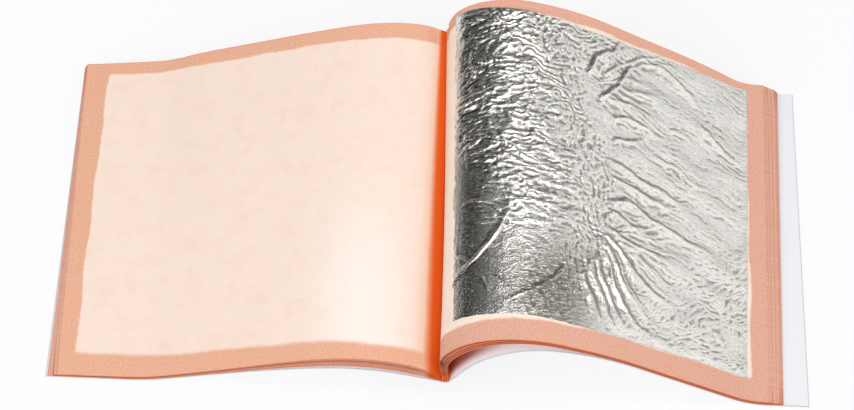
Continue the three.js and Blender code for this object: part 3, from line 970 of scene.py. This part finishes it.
def silver_finish():
    """Bebeaten silver: nearly a mirror, with painted shade in its creases and a painted dark reflection in a
    patch towards the near end.
    """
    finish = Finish("beaten_silver")
    flat, arc, y = finish.flat_position()
    fine = finish.noise(flat, 1.3, 5, 0.65)
    stretched = finish.node("CombineXYZ", X=finish.math("MULTIPLY", arc, 0.45), Y=y)
    streaks = finish.noise(stretched.outputs[0], 1.5, 3, 0.6)
    shade = finish.mix(finish.ramp(fine, 0.3, 0.75), *silver_shades)
    # Painted dark reflection: a streaky patch towards the near end turns dark
    dark_reflection_share = finish.product(finish.ramp(arc, 27, 39), finish.ramp(arc, 46, 62, 1.0, 0.0),
                          finish.ramp(y, 16, 40, 1.0, 0.0), finish.ramp(streaks, 0.36, 0.6, 0.4, 0.95))
    shade = finish.mix(dark_reflection_share, shade, silver_painted_dark_reflection)
    crease_map = finish.node("UVMap", {"uv_map": "creases"}).outputs[0]
    depth = finish.node("SeparateXYZ", Vector=crease_map).outputs[0]
    # Painted shade in the creases: darker where the foil lies below its neighbours
    shade = finish.mix(finish.ramp(depth, 0.0, 0.09, 0.0, 0.68), shade, silver_crease_shade)
    finish.dress(Base_Color=shade, Metallic=1, Roughness=0.13)
    fine_creases = finish.math("ABSOLUTE", finish.math("SUBTRACT", streaks, 0.5))
    grain = finish.math("SUBTRACT", finish.math("MULTIPLY", fine, 0.25), fine_creases)
    finish.roughen(grain, distance=0.0003, strength=0.85)
    return finish.material


def wire_finish():
    finish = Finish("staple_wire")
    where = finish.node("TexCoord").outputs["Object"]
    drawn = finish.ramp(finish.noise(where, 3000, 3), 0.3, 0.7)
    finish.dress(Base_Color=finish.mix(drawn, *wire_shades), Metallic=1, Roughness=0.35)
    return finish.material


def dress_piece(piece, material, node):
    piece.data.materials.append(material)
    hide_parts(node)


def bends_of(page):
    """The bends of a page from the fold outwards: the bodies before and after each, and where it runs."""
    own = f"page_{page:02d}"
    if page <= left_page_count:
        return [("back_cover", "front_cover", left_bend), ("front_cover", own, left_page_bend)]
    if page == top_right_page:
        below = f"page_{page + 1:02d}"
        return [("back_cover", below, top_page_root_bend), (below, own, top_page_bend)]
    return [("back_cover", own, right_bend)]


def seam_between(bends):
    """A sheet with two bends has its seam halfway from the end of the first to the start of the second."""
    return (bends[0][2][1] + bends[1][2][0]) / 2 if len(bends) > 1 else None


def bend_piece(piece):
    """Bakes the piece's placement into its mesh."""
    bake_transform(piece)


tissue_left = tissue_finish("tissue_left_top", border_left, cut_rouge_and_shade, patch_cream, left_patch_sides,
                            left_painted_highlight)
tissue_right = tissue_finish("tissue_right_top", border_right, cut_rouge_and_shade, patch_band, right_patch_sides)
tissue = tissue_finish("tissue", border_right, cut_rouge_and_shade, patch_band, hidden_patch_sides)
tissue_shaded_cut = tissue_finish("tissue_painted_shade_cut", border_right, cut_painted_shade, patch_band, hidden_patch_sides)
card = card_finish()
silver = silver_finish()
wire = wire_finish()

back_cover = cover_piece(1)
dress_piece(back_cover, card, "cover_back")
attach(back_cover, "back_cover")
front_cover = cover_piece(-1)
dress_piece(front_cover, card, "cover_front")
bend_piece(front_cover)

for page in range(1, page_count + 1):
    material = tissue_shaded_cut if page in painted_shade_cut_pages else tissue
    material = {top_left_page: tissue_left, top_right_page: tissue_right}.get(page, material)
    bends = bends_of(page)
    for piece, bend in zip(page_pieces(page, seam_between(bends)), bends):
        dress_piece(piece, material, f"page_{page:02d}")
        bend_piece(piece)

for leaf in range(1, page_count):
    page = leaf if leaf < left_page_count else leaf + 1
    bends = bends_of(page)
    if page == top_right_page:
        foils = [top_leaf_piece()]
        bends = bends[1:]
    else:
        foils = hidden_leaf_pieces(leaf, page, seam_between(bends))
    for foil, bend in zip(foils, bends):
        dress_piece(foil, silver, f"leaf_{leaf:02d}")
        bend_piece(foil)

for name in ("staple_near", "staple_far"):
    staple = frame["nodes"][name]
    staple.data.materials.clear()
    staple.data.materials.append(wire)


# Camera at the photograph's viewing angle: angles in radians, distances in metres, sensor in millimetres
image_width = 854
focal_pixels = 2857.3
sensor_width = 36
camera_elevation = 0.95456
camera_turn = 0.0440467
camera_roll = 0.00278
camera_distance = 0.79315
nearest_seen = 0.05
farthest_seen = 20

# Where the camera looks, in millimetres from the near end of the fold
view_offset = (-7.6465, 60.7255)


def make_camera():
    backward = Vector((math.sin(camera_turn) * math.cos(camera_elevation),
                       -math.cos(camera_turn) * math.cos(camera_elevation),
                       math.sin(camera_elevation)))
    level_right = (-backward).cross(Vector((0, 0, 1))).normalized()
    level_up = level_right.cross(-backward)
    right = level_right * math.cos(camera_roll) + level_up * math.sin(camera_roll)
    up = level_up * math.cos(camera_roll) - level_right * math.sin(camera_roll)
    camera_data = bpy.data.cameras.new("camera")
    camera_data.sensor_width = sensor_width
    camera_data.lens = focal_pixels * sensor_width / image_width
    camera_data.clip_start = nearest_seen
    camera_data.clip_end = farthest_seen
    camera = bpy.data.objects.new("camera", camera_data)
    bpy.context.scene.collection.objects.link(camera)
    near_end = fold_at["near"]
    view_centre = Vector((near_end[0] + view_offset[0], near_end[1] + view_offset[1], 0)) * MM
    turn = Matrix((right, up, backward)).transposed().to_4x4()
    camera.matrix_world = Matrix.Translation(view_centre + backward * camera_distance) @ turn
    bpy.context.scene.camera = camera


# The table: half its width and how far it lies below the booklet in metres, its whiteness, and how far
# it shows plain white in the picture, so that a part of the booklet's shadow stays
table_reach = 3
table_drop = 0.0001
table_whiteness = 0.92
table_glow = 0.82


def make_table():
    bm = bmesh.new()
    bmesh.ops.create_grid(bm, x_segments=1, y_segments=1, size=table_reach)
    mesh = bpy.data.meshes.new("floor")
    bm.to_mesh(mesh)
    bm.free()
    table = bpy.data.objects.new("floor", mesh)
    bpy.context.scene.collection.objects.link(table)
    table.data.transform(Matrix.Translation((0, 0, -table_drop)))
    finish = Finish("white_table")
    finish.dress(Base_Color=(table_whiteness, table_whiteness, table_whiteness, 1), Roughness=0.9)
    path = finish.node("LightPath").outputs
    seen = finish.math("MAXIMUM", path["Is Camera Ray"], path["Is Glossy Ray"])
    seen = finish.math("MAXIMUM", seen, path["Is Transmission Ray"])
    glow = finish.node("Emission", Color=(1, 1, 1, 1), Strength=1.0)
    shown = finish.node("MixShader")
    finish.feed(shown.inputs[0], finish.math("MULTIPLY", seen, table_glow))
    finish.feed(shown.inputs[1], finish.surface.outputs[0])
    finish.feed(shown.inputs[2], glow.outputs[0])
    finish.feed(finish.output.inputs["Surface"], shown.outputs[0])
    table.data.materials.append(finish.material)


def make_lamp(name, place, side, power):
    """A square softbox that faces the booklet: place and side in metres, power in watts."""
    lamp_data = bpy.data.lights.new(name, "AREA")
    lamp_data.shape = "RECTANGLE"
    lamp_data.size = side
    lamp_data.size_y = side
    lamp_data.energy = power
    lamp = bpy.data.objects.new(name, lamp_data)
    bpy.context.scene.collection.objects.link(lamp)
    direction = Vector((0, 0, 0)) - Vector(place)
    lamp.matrix_world = Matrix.Translation(place) @ direction.to_track_quat("-Z", "Y").to_matrix().to_4x4()


# Where the room's glow comes from, and how tightly it gathers there
glow_direction = (0.75, 0.25, 0.5)
glow_tightness = 6.0


def make_room():
    """Room light: a broad soft glow from the upper right, dim at the left, pale behind the camera."""
    world = bpy.data.worlds.new("studio")
    world.use_nodes = True
    room = Nodes(world.node_tree)
    direction = room.node("TexCoord").outputs["Generated"]
    across, ahead, _ = room.node("SeparateXYZ", Vector=direction).outputs
    towards = room.node("VectorMath", {"operation": "DOT_PRODUCT"})
    room.feed(towards.inputs[0], direction)
    room.feed(towards.inputs[1], Vector(glow_direction).normalized())
    glow = room.math("POWER", room.math("MAXIMUM", towards.outputs["Value"], 0.0), glow_tightness)
    sides = room.ramp(across, -0.85, -0.2, 0.03, 0.22)
    front = room.ramp(ahead, -0.5, 0.05, 0.8, 0.0)
    radiance = room.math("ADD", room.math("ADD", glow, sides), front)
    background = room.tree.nodes["Background"]
    room.feed(background.inputs["Color"], radiance)
    room.feed(background.inputs["Strength"], 1.0)
    bpy.context.scene.world = world


make_camera()
make_table()
make_lamp("softbox_above", (0.1, -0.05, 1.25), 0.42, 3.4)
make_lamp("softbox_front", (-0.75, -1.0, 0.75), 0.8, 7.4)
make_room()
bpy.context.scene.view_settings.view_transform = "Standard"
